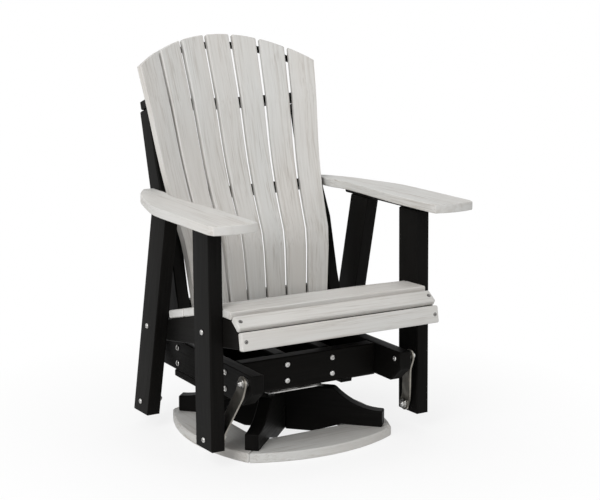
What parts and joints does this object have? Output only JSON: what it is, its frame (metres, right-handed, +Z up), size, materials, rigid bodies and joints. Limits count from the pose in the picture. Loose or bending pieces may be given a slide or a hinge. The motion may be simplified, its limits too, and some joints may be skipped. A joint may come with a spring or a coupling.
{
  "type": "swivel glider chair",
  "caption": "Poly-lumber garden armchair with a fanned slatted back, hung on swing links from a frame that turns on a ball swivel over a round floor ring.",
  "frame": {"origin": "on the swivel axis at floor level, on the underside of the cross legs' crossing", "axes": "+Z up, the sitter faces -Y, +X to the right as seen from the front; names say left and right as seen from the front, with left at -X"},
  "size_m": [0.8086, 0.7698, 1.1013],
  "materials": {
    "weathered_poly": "pale grey poly lumber with a fine lengthwise wood grain, satin",
    "black_poly": "black poly lumber, lightly grained, satin",
    "link_steel": "grey coated flat steel",
    "zinc_steel": "bright zinc-plated or stainless bolts and swivel plates"
  },
  "bodies": {
    "base": {"ring_board_front": "weathered_poly", "ring_board_right": "weathered_poly", "ring_board_rear": "weathered_poly", "ring_board_left": "weathered_poly", "cross_leg_lower": "black_poly", "cross_leg_upper": "black_poly", "swivel_lower_plate": "zinc_steel", "swivel_ball_cage": "zinc_steel"},
    "swivel_frame": {"swivel_upper_plate": "zinc_steel", "mounting_board_front": "black_poly", "mounting_board_rear": "black_poly", "frame_side_left": "black_poly", "frame_side_right": "black_poly", "frame_front_beam": "black_poly", "frame_rear_beam": "black_poly", "frame_stringer_left": "black_poly", "frame_stringer_right": "black_poly", "upper_pivot_bolt_front_left": "zinc_steel", "upper_pivot_bolt_front_right": "zinc_steel", "upper_pivot_bolt_rear_left": "zinc_steel", "upper_pivot_bolt_rear_right": "zinc_steel"},
    "link_front_left": {"link_front_left": "link_steel"},
    "link_front_right": {"link_front_right": "link_steel"},
    "link_rear_left": {"link_rear_left": "link_steel"},
    "link_rear_right": {"link_rear_right": "link_steel"},
    "chair": {"lower_pivot_bolt_front_left": "zinc_steel", "lower_pivot_bolt_front_right": "zinc_steel", "lower_pivot_bolt_rear_left": "zinc_steel", "lower_pivot_bolt_rear_right": "zinc_steel", "front_post_left": "black_poly", "front_post_right": "black_poly", "rear_post_left": "black_poly", "rear_post_right": "black_poly", "arm_cleat_left": "black_poly", "arm_cleat_right": "black_poly", "arm_left": "weathered_poly", "arm_right": "weathered_poly", "seat_slat_1": "weathered_poly", "seat_slat_2": "weathered_poly", "seat_slat_3": "weathered_poly", "seat_slat_4": "weathered_poly", "seat_nose": "weathered_poly", "seat_apron": "weathered_poly", "seat_rail_left": "black_poly", "seat_rail_right": "black_poly", "back_slat_1": "weathered_poly", "back_slat_2": "weathered_poly", "back_slat_3": "weathered_poly", "back_slat_4": "weathered_poly", "back_slat_5": "weathered_poly", "back_slat_6": "weathered_poly", "back_slat_7": "weathered_poly", "back_rail_top": "black_poly", "back_rail_upper": "black_poly", "back_rail_middle": "black_poly", "back_rail_lower": "black_poly", "back_upright_left": "black_poly", "back_upright_right": "black_poly"}
  },
  "joints": [
    {"name": "swivel", "type": "hinge", "parent": "base", "child": "swivel_frame", "pos_m": [0, 0, 0.138], "axis": [0, 0, 1], "continuous": true},
    {"name": "glide", "type": "hinge", "parent": "swivel_frame", "child": "link_front_left", "pos_m": [-0.2642, -0.26, 0.233], "axis": [1, 0, 0], "range_deg": [-10, 10]},
    {"name": "glide_front_right", "type": "hinge", "parent": "swivel_frame", "child": "link_front_right", "pos_m": [0.2642, -0.26, 0.233], "axis": [1, 0, 0], "range_deg": [-10, 10]},
    {"name": "glide_rear_left", "type": "hinge", "parent": "swivel_frame", "child": "link_rear_left", "pos_m": [-0.2642, 0.237, 0.233], "axis": [1, 0, 0], "range_deg": [-10, 10]},
    {"name": "glide_rear_right", "type": "hinge", "parent": "swivel_frame", "child": "link_rear_right", "pos_m": [0.2642, 0.237, 0.233], "axis": [1, 0, 0], "range_deg": [-10, 10]},
    {"name": "chair_tilt", "type": "hinge", "parent": "link_front_left", "child": "chair", "pos_m": [-0.29465, -0.196, 0.076], "axis": [1, 0, 0], "range_deg": [-12.69, 12.69]}
  ],
  "couplings": [
    {"joint": "glide_front_right", "follows": "glide", "ratio": 1},
    {"joint": "glide_rear_left", "follows": "glide", "ratio": 1},
    {"joint": "glide_rear_right", "follows": "glide", "ratio": 1},
    {"joint": "chair_tilt", "follows": "glide", "ratio": -1.2685}
  ]
}
